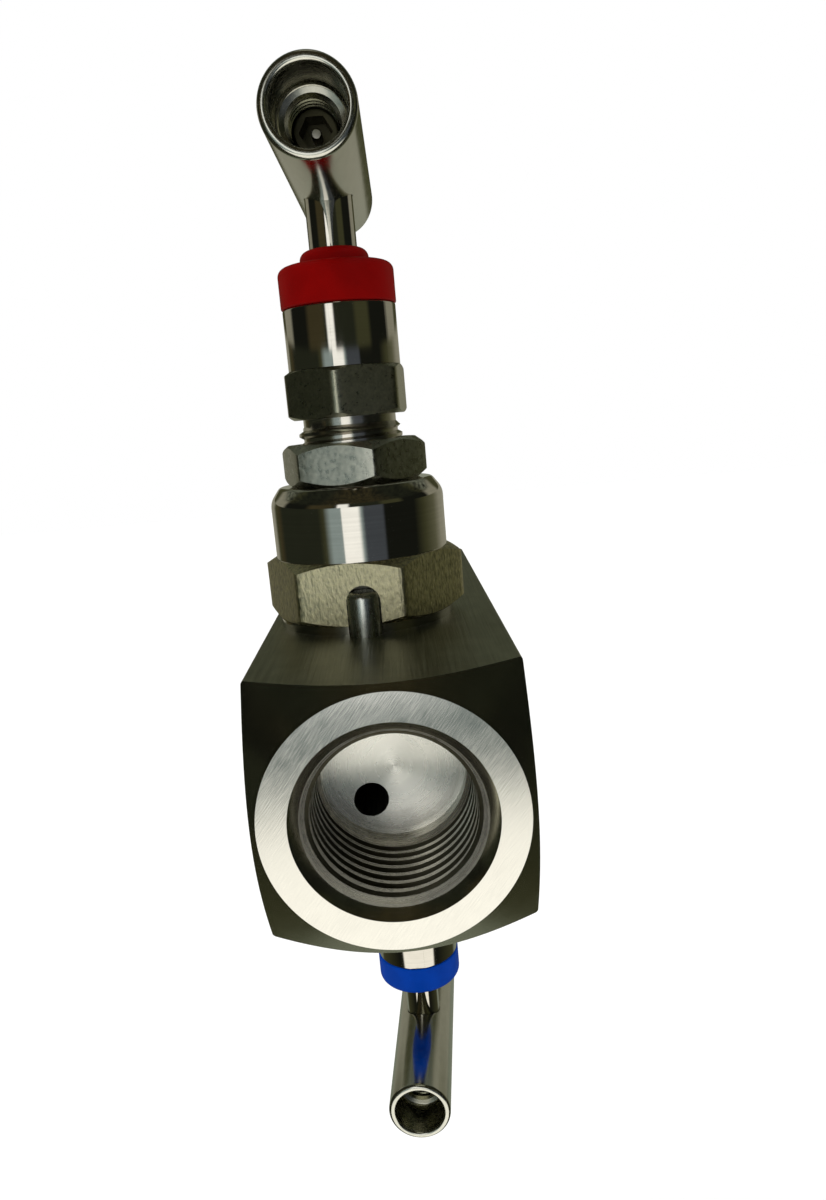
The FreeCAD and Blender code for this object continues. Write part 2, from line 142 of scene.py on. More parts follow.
# %% An outline with rounded corners
def outline(corners, steps=5):
    """Points of a closed outline through (radius, height, rounding) corners.

    A rounding f puts an arc in the corner: its centre is f / sin(half the corner's
    angle) along the bisector, and it runs between the two points that lie
    f / tan(half the angle) from the corner on either side.
    """
    runs = []
    for i, corner in enumerate(corners):
        here = np.array(corner[:2], float)
        if len(corner) < 3:
            runs.append(here[None])
            continue
        back = np.array(corners[i - 1][:2]) - here
        ahead = np.array(corners[(i + 1) % len(corners)][:2]) - here
        back = back / np.linalg.norm(back)
        ahead = ahead / np.linalg.norm(ahead)
        half = math.acos(float(np.clip(back @ ahead, -1, 1))) / 2
        bisector = (back + ahead) / np.linalg.norm(back + ahead)
        middle = here + bisector * corner[2] / math.sin(half)
        first = here + back * corner[2] / math.tan(half) - middle
        last = here + ahead * corner[2] / math.tan(half) - middle
        start = math.atan2(first[1], first[0])
        sweep = (math.atan2(last[1], last[0]) - start + math.pi) % full_turn - math.pi
        angles = start + sweep * np.linspace(0, 1, steps + 1)
        runs.append(middle + corner[2] * np.stack([np.cos(angles), np.sin(angles)], axis=-1))
    return np.concatenate(runs)


# %% Directions round a plan, plain or with rounded flats
def round_plan(segments=160):
    """Unit circle as a closed plan of points."""
    angles = full_turn * np.arange(segments + 1) / segments
    return np.stack([np.cos(angles), np.sin(angles)], axis=-1)


def flat_plan(sides, flats, rounding, turn, limit=math.inf, roll=0.0, per_flat=22, per_corner=7):
    """Closed plan of a regular polygon with rounded corners, one flat square to -Y.

    Flat k lies at half the width across flats along its normal, and sinks towards
    its ends by the roll times the fourth power of the share of its half width, as
    a polished flat does. Between two flats runs an arc of the rounding, centred
    where both flats, moved in by the rounding, cross. Points beyond the limit are
    drawn in to it, as a turned-off corner is. The turn is in degrees.
    """
    reach = flats / 2
    half = math.pi / sides
    normals = -math.pi / 2 + math.radians(turn) + 2 * half * np.arange(sides)[:, None]
    share = np.linspace(-1, 1, per_flat)
    along = share * (reach - rounding) * math.tan(half)
    sunk = reach - roll * share ** 4
    flat_x = sunk * np.cos(normals) - along * np.sin(normals)
    flat_y = sunk * np.sin(normals) + along * np.cos(normals)
    bend = normals + np.linspace(0, 2 * half, per_corner + 2)[1:-1]
    pivot = (reach - roll - rounding) / math.cos(half)
    bend_x = pivot * np.cos(normals + half) + rounding * np.cos(bend)
    bend_y = pivot * np.sin(normals + half) + rounding * np.sin(bend)
    x = np.concatenate([flat_x, bend_x], axis=1).ravel()
    y = np.concatenate([flat_y, bend_y], axis=1).ravel()
    loop = np.stack([x, y], axis=-1)
    loop = loop * np.minimum(1, limit / np.linalg.norm(loop, axis=-1, keepdims=True))
    return np.concatenate([loop, loop[:1]])


# %% An outline carried round a plan
def carried(rows, plan):
    """Grid of points: each (radius, height) row becomes a circle with a point along each of the plan's."""
    ways = plan / np.linalg.norm(plan, axis=-1, keepdims=True)
    rows = np.asarray(rows, float)
    flat = rows[:, 0, None, None] * ways[None]
    tall = np.broadcast_to(rows[:, 1, None, None], flat.shape[:2] + (1,))
    return np.concatenate([flat, tall], axis=-1)


def prism(plan, heights):
    """Grid of points: the plan itself, repeated at each height."""
    heights = np.asarray(heights, float)[:, None, None]
    flat = np.broadcast_to(plan[None], (len(heights),) + plan.shape)
    return np.concatenate([flat, np.broadcast_to(heights, flat.shape[:2] + (1,))], axis=-1)


def chamfered(plan, land, base, top, slope):
    """Four rows of a polygon head: land, edge of the flat, edge of the flat, land.

    The chamfer is a cone, so where it meets a flat its height is the plan's
    distance from the axis beyond the land, times the slope. That makes the arcs
    that every turned nut shows over its flats.
    """
    reach = np.linalg.norm(plan, axis=-1)
    rise = (reach - land) * slope
    ways = plan / reach[:, None]
    lands = np.concatenate([ways * land, np.full((len(plan), 1), base)], axis=-1)
    lower = np.concatenate([plan, (base + rise)[:, None]], axis=-1)
    upper = np.concatenate([plan, (top - rise)[:, None]], axis=-1)
    crown = np.concatenate([ways * land, np.full((len(plan), 1), top)], axis=-1)
    return np.stack([lands, lower, upper, crown])


# %% A real screw thread
def threaded(plan, crest, root, start, stop, pitch, fade, zero=0.0, flat=0.12, lead_r=0.0):
    """Grid of a helical thread between two heights.

    The ridge is a V with a short flat at its root. Corner m of turn k lies at
    pitch * (k + share of m + angle / full turn), so the rows climb one pitch a turn
    and meet themselves. Rows are held at the two end heights, and the depth fades
    in over a short run there, as it does where a tool runs out of the metal. A lead
    radius adds a 45 degree bevel that starts from it at the top.
    """
    deep = abs(root - crest)
    half = (deep * math.tan(math.radians(30)) + flat / 2) / pitch
    shares = np.array([-half, -flat / 2 / pitch, flat / 2 / pitch, half])
    radii = np.array([crest, root, root, crest])
    first = math.floor((start - zero) / pitch) - 2
    turns = np.arange(first, math.ceil((stop - zero) / pitch) + 2)
    angle = np.unwrap(np.arctan2(plan[:, 1], plan[:, 0]))
    share = (turns[:, None] + shares[None]).ravel()[:, None] + (angle / full_turn)[None]
    height = np.clip(zero + pitch * share, start, stop)
    radius = np.tile(radii, len(turns))[:, None]
    near = np.minimum(height - start, stop - height) / fade
    radius = crest + (radius - crest) * np.clip(near, 0, 1)
    radius = np.minimum(radius, lead_r + np.abs(stop - height)) if lead_r else radius
    ways = plan / np.linalg.norm(plan, axis=-1, keepdims=True)
    return np.concatenate([radius[..., None] * ways[None], height[..., None]], axis=-1)


# %% From grids to a mesh
def make_piece(name, grids, sharp=28.0):
    """Join grids of points, in metres, into one mesh with equal points merged.

    Each grid has its rows along the first axis. Edges that bend by more than the
    sharp angle stay crisp, and the rest are shaded smooth.
    """
    points, quads, count = [], [], 0
    for grid in grids:
        rows, columns = grid.shape[:2]
        row = np.arange(rows - 1)[:, None] * columns + np.arange(columns - 1)[None]
        corners = np.stack([row, row + 1, row + columns + 1, row + columns], axis=-1)
        quads.append(corners.reshape(-1, 4) + count)
        points.append(grid.reshape(-1, 3))
        count += rows * columns
    points = np.concatenate(points)
    quads = np.concatenate(quads)
    mesh = bpy.data.meshes.new(name)
    mesh.vertices.add(len(points))
    mesh.vertices.foreach_set("co", points.astype(np.float32).ravel())
    mesh.loops.add(quads.size)
    mesh.loops.foreach_set("vertex_index", quads.astype(np.int32).ravel())
    mesh.polygons.add(len(quads))
    mesh.polygons.foreach_set("loop_start", np.arange(0, quads.size, 4, dtype=np.int32))
    mesh.update(calc_edges=True)
    piece = bpy.data.objects.new(name, mesh)
    scene.collection.objects.link(piece)
    settle(piece, sharp)
    return piece


def settle(piece, sharp=28.0):
    """Merge equal points, turn the faces outwards and mark the crisp edges."""
    mesh = piece.data
    work = bmesh.new()
    work.from_mesh(mesh)
    bmesh.ops.remove_doubles(work, verts=work.verts, dist=merge_gap)
    bmesh.ops.recalc_face_normals(work, faces=work.faces)
    work.to_mesh(mesh)
    work.free()
    mesh.polygons.foreach_set("use_smooth", np.ones(len(mesh.polygons), bool))
    mesh.set_sharp_from_angle(angle=math.radians(sharp))
    mesh.update()


def open_edges(piece):
    """Number of edges that don't have exactly two faces."""
    work = bmesh.new()
    work.from_mesh(piece.data)
    loose = sum(1 for edge in work.edges if len(edge.link_faces) != 2)
    work.free()
    return loose


# %% Cutting one piece with others
def carve(piece, cutters, operation="DIFFERENCE"):
    """Cut the cutters out of a piece, or join them to it, and throw them away."""
    for cutter in cutters:
        tool = piece.modifiers.new("carve", "BOOLEAN")
        tool.operation = operation
        tool.solver = "MANIFOLD"
        tool.object = cutter
    bpy.context.view_layer.update()
    graph = bpy.context.evaluated_depsgraph_get()
    result = bpy.data.meshes.new_from_object(piece.evaluated_get(graph))
    piece.modifiers.clear()
    old = piece.data
    piece.data = result
    result.name = old.name
    bpy.data.meshes.remove(old)
    for cutter in cutters:
        bpy.data.objects.remove(cutter)
    settle(piece)
    return piece


def laid(points, backward=False):
    """Points drawn about Z, laid along the Y axis or against it, a quarter turn about X."""
    x, y, z = points[..., 0], points[..., 1], points[..., 2]
    return np.stack([x, -z, y], axis=-1) if backward else np.stack([x, z, -y], axis=-1)


def along_y(points, where=(0.0, 0.0, 0.0)):
    """Lay a piece drawn about Z along the Y axis from a place, in metres."""
    return (laid(points) + np.array(where)) * mm


def along_x(points, where):
    """Lay a piece drawn about Z against the X axis from a place, in metres, a quarter turn about Y."""
    return (np.stack([-points[..., 2], points[..., 1], points[..., 0]], axis=-1) + np.array(where)) * mm


def plain_rod(name, radius, start, stop, lay, segments=96):
    """Closed cylinder between two heights, laid by a function."""
    rows = [(0, start), (radius, start), (radius, stop), (0, stop)]
    return make_piece(name, [lay(carried(rows, round_plan(segments)))])


print("helpers ready")

# %% [markdown]
# ## The bar
#
# The body is ground square bar with both ends turned to a cone, which leaves a
# round ring face and the curved edges where cone and flats meet. A square is only
# a four-sided nut, so the same chamfer function draws it. The ports and passages
# are cut out of it as whole shapes, thread and all, because the eye looks straight
# down the front port and a real helix catches the light where rings would not.

# %% Sizes of the bar
nipple_length = 20.0
bar_length = bar_tail - nipple_length
bar_corner = 0.4
ring_face_r = 15.25
cone_slope = math.tan(math.radians(41))
overrun = 1.0
snug = 0.05
thread_flank = math.tan(math.radians(30))

bar_plan = flat_plan(4, 2 * bar_half, bar_corner, 0.0, per_flat=48)
bar_rows = chamfered(bar_plan, ring_face_r, 0.0, bar_length, cone_slope)
bar_ends = [carried([(0, 0), (ring_face_r, 0)], bar_plan), bar_rows,
            carried([(ring_face_r, bar_length), (0, bar_length)], bar_plan)]
bar = make_piece("square_bar", [along_y(np.concatenate(bar_ends))])
print("bar", round(bar_length, 2), "mm long,", len(bar.data.polygons), "faces, open edges", open_edges(bar))

# %% The front port as a shape to cut
inch = 25.4
front_port = {"mouth_r": 11.8, "entry_r": 10.65, "throat_r": 10.05, "entry_depth": 2.3, "crest_r": 9.6,
              "root_r": 10.45, "pitch": inch / 14, "phase": 3.4565, "thread_end": 13.89, "bore_r": 9.15,
              "depth": 16.3}
floor_dish = 0.6
run_in = 0.3
run_out = 0.2
thread_fade = 0.5


def port_cutter(name, port, lay, segments):
    """Threaded blind port, mouth at height 0.

    Two cones lead in, the mouth's at 45 degrees and the entry's, and behind them
    the first thread flank falls to the crest. A step closes the thread off from the
    plain bore, and the floor is a shallow cone.
    """
    plan = round_plan(segments)
    crest, bore, thread_end, depth = (port[size] for size in ("crest_r", "bore_r", "thread_end", "depth"))
    first = port["entry_depth"] + (port["throat_r"] - crest) * thread_flank
    mouth_rows = [(0, -overrun), (port["mouth_r"] + overrun, -overrun),
                  (port["entry_r"], port["mouth_r"] - port["entry_r"]),
                  (port["throat_r"], port["entry_depth"]), (crest, first)]
    thread = threaded(plan, crest, port["root_r"], first + run_in, thread_end - run_out, port["pitch"],
                      thread_fade, zero=port["phase"])
    floor_rows = [(crest, thread_end), (bore, thread_end + crest - bore), (bore, depth),
                  (0.5 * bore, depth + 0.5 * floor_dish), (0, depth + floor_dish)]
    grid = np.concatenate([carried(mouth_rows, plan), thread, carried(floor_rows, plan)])
    return make_piece(name, [lay(grid)])


front_cutter = port_cutter("front_cutter", front_port, along_y, 192)
print("front port", len(front_cutter.data.polygons), "faces, open edges", open_edges(front_cutter))

# %% The vent port in the side
vent_port = {"mouth_r": 7.5, "entry_r": 6.85, "throat_r": 6.5, "entry_depth": 1.8, "crest_r": 5.6,
             "root_r": 6.4, "pitch": inch / 18, "phase": 0.0, "thread_end": 9.9, "bore_r": 5.5, "depth": 12.0}
vent_place = (bar_half, valves["vent"]["centre"][1], 0.0)
vent_cutter = port_cutter("vent_cutter", vent_port, lambda points: along_x(points, vent_place), 128)
print("vent port", len(vent_cutter.data.polygons), "faces, open edges", open_edges(vent_cutter))

# %% The holes that the two valves screw into
boss_hole_r = 9.05
cavity_floor = 8.2
chamber_r = 3.4
seat_height = 1.5
orifice_r = 2.0
orifice_floor = {"vent": -4.2, "block": -3.0}
pin_ring_r = 12.4
dowel_r = 2.1


def valve_hole(valve):
    """Bonnet hole, chamber and orifice of one valve."""
    rows = [(0, orifice_floor[valve]), (orifice_r, orifice_floor[valve]), (orifice_r, seat_height),
            (chamber_r, seat_height), (chamber_r, cavity_floor), (boss_hole_r, cavity_floor),
            (boss_hole_r, bar_half + overrun), (0, bar_half + overrun)]
    return make_piece(valve + "_hole", [stand(carried(rows, round_plan(96)), valve)])


def pin_hole(valve):
    """Hole for the dowel that locks the bonnet."""
    rows = [(0, pin_foot), (dowel_r + snug, pin_foot), (dowel_r + snug, bar_half + overrun),
            (0, bar_half + overrun)]
    points = carried(rows, round_plan(64)) + np.array([0, -pin_ring_r, 0])
    return make_piece(valve + "_pin_hole", [stand(points, valve)])


# %% The passages between them
flow_bore_r = 2.25
flow_place = (-3.2, 0.0, -4.2)
rear_place = (0.0, 0.0, 3.0)
cross_r = 1.5
cross_place = (0.0, vent_place[1], 3.5)
block_y = valves["block"]["centre"][1]
flow_bore = plain_rod("flow_bore", flow_bore_r, front_port["depth"] - overrun, block_y,
                      lambda points: along_y(points, flow_place))
rear_bore = plain_rod("rear_bore", flow_bore_r, block_y, bar_tail + overrun,
                      lambda points: along_y(points, rear_place))
cross_start = vent_port["depth"] - bar_half - overrun
cross_bore = plain_rod("cross_bore", cross_r, cross_start, -valves["vent"]["centre"][0],
                       lambda points: along_x(points, cross_place))

# %% The threaded nipple behind
nipple_crest_r = 10.67
nipple_root_r = 9.3
nipple_neck = 2.4
nose_bevel = 1.4
nipple_plan = round_plan(192)
thread_start = nipple_neck + nipple_crest_r - nipple_root_r
thread_stop = nipple_length - nose_bevel
nipple_grid = np.concatenate([
    carried([(0, -overrun), (nipple_root_r, -overrun), (nipple_root_r, nipple_neck),
             (nipple_crest_r, thread_start)], nipple_plan),
    threaded(nipple_plan, nipple_crest_r, nipple_root_r, thread_start, thread_stop, front_port["pitch"], 0.4),
    carried([(nipple_crest_r, thread_stop), (nipple_crest_r - nose_bevel, nipple_length), (0, nipple_length)],
            nipple_plan),
])
nipple = make_piece("nipple", [along_y(nipple_grid, (0.0, bar_length, 0.0))])
print("nipple open edges", open_edges(nipple))

# %% One body from all of it
carve(bar, [nipple], "UNION")
carve(bar, [front_cutter, vent_cutter, valve_hole("vent"), valve_hole("block"), pin_hole("vent"),
            pin_hole("block"), flow_bore, rear_bore, cross_bore])
bar.name = "machined_body"
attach(bar, "manifold")
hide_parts("valve_body")
print("machined body", len(bar.data.polygons), "faces, open edges", open_edges(bar))

# %% [markdown]
# ## The bonnets
#
# Each bonnet is turned from hexagon bar: a round foot, the hexagon, and a mirror
# bright barrel with a rolled shoulder. A slot is milled into one flat, and a dowel
# stands in it so that the bonnet can't unscrew. One closed outline carries the
# whole piece, bore included, and the hexagon's rows are slipped in between.

# %% Sizes of the bonnet
boss_r = 9.0
needle_hole_r = 3.0
spindle_hole_r = 4.0
packing_hole_r = 5.5
foot_r = 12.4
hex_base = bar_half + 1.1
hex_top = hex_base + 8.4
barrel_r = 12.1
crown_r = 10.7
bonnet_flats = 24.6
bonnet_corner_r = 14.05
bonnet_hex_turn = -7.4
hex_land_gap = 0.05
chamfer_slope = math.tan(math.radians(30))
gland_hole_r = 7.2
gland_seat = gland_foot + 1.4
packing_floor = low("vent_packing_washer")[2]
guide_top = bonnet_foot + 3.9
slot_r = 2.25
slot_arch = bar_half + 6.5 - slot_r
slot_depth_r = 9.9


def bonnet(valve):
    """Foot, hexagon, barrel and stepped bore as one closed surface, with the pin slot cut."""
    plan = flat_plan(6, bonnet_flats, 0.3, bonnet_hex_turn, limit=bonnet_corner_r, roll=0.06)
    below = [(needle_hole_r, bonnet_foot), (boss_r, bonnet_foot), (boss_r, bar_half), (foot_r, bar_half),
             (foot_r, hex_base)]
    above = outline([(barrel_r, hex_top), (barrel_r, nut_base - 1.9, 2.6), (crown_r, nut_base, 0.8),
                     (gland_hole_r, nut_base), (gland_hole_r, gland_seat), (packing_hole_r, gland_seat),
                     (packing_hole_r, packing_floor), (spindle_hole_r, packing_floor),
                     (spindle_hole_r, guide_top), (needle_hole_r, guide_top)])
    head = chamfered(plan, bonnet_flats / 2 - hex_land_gap, hex_base, hex_top, chamfer_slope)
    grid = np.concatenate([carried(below, plan), head, carried(above, plan), carried(below[:1], plan)])
    piece = make_piece(valve + "_bonnet_turned", [stand(grid, valve)])
    print(piece.name, len(piece.data.polygons), "faces, open edges", open_edges(piece))
    return carve(piece, [slot_cutter(valve)])


def slot_cutter(valve, steps=24):
    """Arched slot: a half circle over a box, carried outwards, with each end drawn in to a point."""
    angles = np.linspace(0, math.pi, steps)
    arch_x = slot_r * np.cos(angles)
    arch_z = slot_arch + slot_r * np.sin(angles)
    under = bar_half - overrun
    outside = foot_r + 3 * overrun
    x = np.concatenate([[slot_r], arch_x, [-slot_r, slot_r]])
    z = np.concatenate([[under], arch_z, [under, under]])
    rings = []
    for reach, size in ((slot_depth_r, 0), (slot_depth_r, 1), (outside, 1), (outside, 0)):
        level = slot_arch + size * (z - slot_arch)
        rings.append(np.stack([size * x, np.full(len(x), -reach), level], axis=-1))
    return make_piece(valve + "_slot", [stand(np.stack(rings), valve)])


def lock_pin(valve):
    """Ground dowel with a domed end."""
    rows = outline([(0, pin_foot), (dowel_r, pin_foot, 0.5), (dowel_r, pin_top, 0.7), (0, pin_top)])
    points = carried(rows, round_plan(64)) + np.array([0, -pin_ring_r, 0])
    return make_piece(valve + "_dowel", [stand(points, valve)])


# %% [markdown]
# ## Lock nut, gland and dust cap
#
# Above the bonnet come a thin lock nut, the gland that squeezes the packing, and a
# coloured cap that keeps dust off the stem. A couple of turns of the gland's
# thread show between the nut and its hexagon.

# %% The lock nut
nut_flats = 18.3
nut_corner_r = 10.5
nut_turn = -13.0
thread_hole_r = 7.2
countersink = 0.65
nut_chamfer_slope = math.tan(math.radians(37))


def lock_nut(valve):
    """Thin nut, chamfered on both faces, with its tapped hole countersunk."""
    plan = flat_plan(6, nut_flats, 0.5, nut_turn, limit=nut_corner_r, roll=0.15)
    head = chamfered(plan, nut_flats / 2 - 0.3, nut_base, nut_top, nut_chamfer_slope)
    hole = [(thread_hole_r + countersink, nut_top), (thread_hole_r, nut_top - countersink),
            (thread_hole_r, nut_base + countersink), (thread_hole_r + countersink, nut_base)]
    grid = np.concatenate([head, carried(hole, plan), head[:1]])
    return make_piece(valve + "_nut", [stand(grid, valve)])


# %% The gland
nose_r = 5.35
nose_length = 1.6
gland_thread_r = 7.15
gland_thread_root_r = 6.55
gland_pitch = 1.5
gland_root_flat = 0.4
gland_neck_r = 6.4
gland_thread_top = nut_top + 2.3
gland_hex_base = gland_thread_top + 1.0
gland_hex_top = gland_hex_base + 6.5
gland_flats = 15.3
gland_corner_r = 8.6
gland_hex_turn = 22.0
gland_barrel_r = 7.65
stem_hole_r = 3.3
spigot_r = 6.3
spigot_top = high("vent_gland")[2]


def gland(valve):
    """Nose, thread, neck, hexagon, polished barrel and spigot, bored for the stem."""
    plan = flat_plan(6, gland_flats, 0.07, gland_hex_turn, limit=gland_corner_r, roll=0.04)
    nose_top = gland_foot + nose_length
    below = [(stem_hole_r, gland_foot), (nose_r, gland_foot), (nose_r, nose_top), (gland_thread_r, nose_top)]
    thread = threaded(plan, gland_thread_r, gland_thread_root_r, nose_top, gland_thread_top, gland_pitch, 0.3,
                      flat=gland_root_flat, lead_r=gland_neck_r)
    neck = [(gland_neck_r, gland_thread_top), (gland_neck_r, gland_hex_base)]
    head = chamfered(plan, gland_flats / 2 - hex_land_gap, gland_hex_base, gland_hex_top, chamfer_slope)
    above = outline([(gland_barrel_r, gland_hex_top), (gland_barrel_r, cap_base, 0.3), (spigot_r, cap_base),
                     (spigot_r, spigot_top, 0.5), (stem_hole_r, spigot_top)])
    grid = np.concatenate([carried(below, plan), thread, carried(neck, plan), head, carried(above, plan),
                           carried(below[:1], plan)])
    return make_piece(valve + "_packing_gland", [stand(grid, valve)])


# %% The dust cap
cap_r = 7.8
cap_hole_r = 6.35
cap_shoulder = 63.9
cap_neck_r = 4.6


def dust_cap(valve):
    """Moulded cap: skirt, rolled shoulder and a domed neck round the stem."""
    corners = [(cap_hole_r, cap_base), (cap_r, cap_base, 0.25), (cap_r, cap_shoulder, 1.1),
               (cap_neck_r + 0.05, cap_shoulder, 0.3), (cap_neck_r, cap_top, 1.2), (stem_hole_r, cap_top),
               (stem_hole_r, spigot_top + snug), (cap_hole_r, spigot_top + snug)]
    rows = outline(corners, steps=8)
    grid = carried(np.concatenate([rows, rows[:1]]), round_plan(160))
    return make_piece(valve + "_cap", [stand(grid, valve)])


# %% [markdown]
# ## Stem, handle bar and its screw
#
# The stem is one piece with the spindle inside. The T handle is a short round bar
# with a deep socket in each end, and a socket screw in the near end grips the
# stem. Its hexagon has a security pin in the middle, which shows as a small
# bright disc.

# %% The spindle
stem_r = 3.2
stem_thread_r = 3.95
stem_thread_root_r = 3.45
stem_thread_top = spindle_foot + 4.2
fine_pitch = 1.0
pocket_r = 1.95
pocket_top = spindle_foot + 3.0
swivel_r = 3.05
swivel_top = spindle_foot + 0.9


def spindle(valve):
    """Threaded end with the needle's pocket, and the mirror bright stem above it."""
    plan = round_plan(128)
    pocket = [(0, pocket_top), (pocket_r, pocket_top), (pocket_r, swivel_top), (swivel_r, swivel_top),
              (swivel_r, spindle_foot), (stem_thread_r, spindle_foot)]
    thread = threaded(plan, stem_thread_r, stem_thread_root_r, spindle_foot, stem_thread_top, fine_pitch, 0.4)
    shank = outline([(stem_thread_r, stem_thread_top), (stem_r, stem_thread_top), (stem_r, spindle_top, 0.5),
                     (0, spindle_top)])
    grid = np.concatenate([carried(pocket, plan), thread, carried(shank, plan)])
    return make_piece(valve + "_stem", [stand(grid, valve)])


# %% The handle bar
grip_r = 5.5
grip_half = 22.1
socket_r = 4.25
socket_floor = 15.6
tapped_r = 2.9
tapped_root_r = 3.3
lip_round = 0.65
bore_round = 0.5
step_r = 3.3
step_floor = 15.35
tap_start = 14.9
tap_end = 8.0


def on_handle(points, valve):
    """Raise points drawn along Y to the handle's axis and turn them with the handle, in metres."""
    return stand(points + np.array([0, 0, handle_axis]), valve, valves[valve]["handle_turn"])


def handle_bar(valve):
    """Round bar with rolled lips, a socket each end, and a tapped hole to the stem."""
    plan = round_plan(160)
    rows = outline([(0, socket_floor - 1.2), (socket_r, socket_floor, 0.6), (socket_r, grip_half, bore_round),
                    (grip_r, grip_half, lip_round), (grip_r, -grip_half, lip_round),
                    (socket_r, -grip_half, bore_round), (socket_r, -socket_floor, 0.5), (step_r, -step_floor),
                    (tapped_r, -tap_start)], steps=8)
    thread = threaded(plan, tapped_r, tapped_root_r, -tap_start, -tap_end, fine_pitch, 0.2)
    inner = [(tapped_r, -tap_end), (tapped_r, 0), (0, 0)]
    grid = laid(np.concatenate([carried(rows, plan), thread, carried(inner, plan)]))
    piece = make_piece(valve + "_grip", [on_handle(grid, valve)])
    start = handle_axis - grip_r - overrun
    hole = [(0, start), (stem_r + snug, start), (stem_r + snug, spindle_top + snug), (0, spindle_top + snug)]
    return carve(piece, [make_piece("stem_hole", [stand(carried(hole, round_plan(96)), valve)])])


# %% The screw in the handle
screw_r = 2.85
screw_end = 12.2
screw_bevel = 0.6
key_flats = 3.5
key_rim = 0.6
key_floor = screw_end - 3.2
pin_r = 0.65
pin_end = screw_end - 0.5


def handle_screw(valve):
    """Set screw with a hexagon socket and a pin standing in it."""
    plan = flat_plan(6, key_flats, 0.15, 0.0)
    tip = stem_r + snug
    shank = outline([(0, tip), (screw_r - screw_bevel, tip), (screw_r, tip + screw_bevel),
                     (screw_r, screw_end, 0.4), (key_flats / 2 + key_rim, screw_end)])
    pin = outline([(pin_r, key_floor), (pin_r, pin_end, 0.2), (0, pin_end)])
    grid = np.concatenate([carried(shank, plan), prism(plan, [screw_end, key_floor]), carried(pin, plan)])
    return make_piece(valve + "_socket_screw", [on_handle(laid(grid, backward=True), valve)])


# %% Put both valves together
def place(piece, body, node, slot):
    """Let a piece ride on its body and stand for its node, which is hidden. The slot is not used."""
    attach(piece, body)
    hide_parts(node)
    return piece


shown = {}
for valve in valves:
    hand = valve + "_handle"
    shown[valve] = {
        "bonnet": place(bonnet(valve), "manifold", valve + "_bonnet", "bonnet_steel"),
        "pin": place(lock_pin(valve), "manifold", valve + "_lock_pin", "pin_steel"),
        "nut": place(lock_nut(valve), "manifold", valve + "_lock_nut", "nut_steel"),
        "gland": place(gland(valve), "manifold", valve + "_gland", "gland_steel"),
        "cap": place(dust_cap(valve), "manifold", valve + "_dust_cap",
                     "red_cap" if valve == "vent" else "blue_cap"),
        "stem": place(spindle(valve), hand, valve + "_spindle", "stem_steel"),
        "grip": place(handle_bar(valve), hand, valve + "_handle_bar", "handle_steel"),
        "screw": place(handle_screw(valve), hand, valve + "_handle_screw", "screw_steel"),
    }
    for part, piece in shown[valve].items():
        print(valve, part, len(piece.data.polygons), "faces, open edges", open_edges(piece))

# %% [markdown]
# ## Finishes
#
# All of the metal is stainless steel, and what tells one face from the next is
# mostly how it was cut. A turned face has fine grooves round its axis, a ground
# face has lines along the bar, and a milled hexagon has grain. So there is one
# recipe for steel, and each finish hands it a direction for its lines. The lines
# feed the bump, the roughness and, faintly, the colour, and the anisotropic
# setting smears reflections across them. Three hollows also get painted shade in
# their colour: the front port's thread grooves, the dowels' slots and the
# handles' sockets.

# %% Node helpers
steel_colour = (0.60, 0.575, 0.52)
across_lines = 0.25


def add(made, kind, sockets=None, **settings):
    """Add a node, with its settings, and link or fill the sockets that are given."""
    new = made.node_tree.nodes.new(kind)
    for name, value in settings.items():
        setattr(new, name, value)
    for name, value in (sockets or {}).items():
        if isinstance(value, bpy.types.NodeSocket):
            made.node_tree.links.new(value, new.inputs[name])
        else:
            new.inputs[name].default_value = value
    return new


def math_node(made, operation, first, second=0.0):
    """Result of one sum on numbers or sockets."""
    return add(made, "ShaderNodeMath", {0: first, 1: second}, operation=operation).outputs[0]


def fresh(name):
    """New material and its Principled shader."""
    made = bpy.data.materials.new(name)
    made.use_nodes = True
    return made, made.node_tree.nodes["Principled BSDF"]


def straight(made, stretch, turn=(0, 0, 0), place=(0, 0, 0)):
    """Object coordinates from a place in millimetres, turned by degrees and divided by a stretch each way."""
    here = add(made, "ShaderNodeTexCoord").outputs["Object"]
    sockets = {"Vector": here, "Location": [p * mm for p in place],
               "Rotation": [math.radians(angle) for angle in turn], "Scale": [mm / part for part in stretch]}
    return add(made, "ShaderNodeMapping", sockets, vector_type="TEXTURE").outputs[0]


def around(made, place, axis, fine):
    """Distance from an axis and height along it, as a vector, so that a pattern runs in rings."""
    parts = add(made, "ShaderNodeSeparateXYZ", {0: straight(made, (fine,) * 3, place=place)}).outputs
    flat = [parts[i] for i in range(3) if i != axis]
    squares = [math_node(made, "MULTIPLY", part, part) for part in flat]
    radius = math_node(made, "SQRT", math_node(made, "ADD", *squares))
    return add(made, "ShaderNodeCombineXYZ", {0: radius, 1: parts[axis]}).outputs[0]


def even(fine):
    """Coordinates for a grain that is the same in all directions."""
    return lambda made: straight(made, (fine,) * 3)


def rings(place, axis, fine):
    """Coordinates for grooves round an axis."""
    return lambda made: around(made, place, axis, fine)


def noise(made, vector, detail=2.0):
    """Soft noise with one spot per unit of its coordinates."""
    return add(made, "ShaderNodeTexNoise", {"Vector": vector, "Scale": 1.0, "Detail": detail}).outputs[0]


def spread(made, value, low_end, high_end, first=0.35, last=0.65):
    """Stretch the middle of a noise over a new range."""
    sockets = {"Value": value, "From Min": first, "From Max": last, "To Min": low_end, "To Max": high_end}
    return add(made, "ShaderNodeMapRange", sockets).outputs[0]


def blend(made, share, first, second):
    """First colour where the share is 0, second colour where it is 1."""
    return add(made, "ShaderNodeMix", {0: share, 6: first, 7: second}, data_type="RGBA").outputs[2]


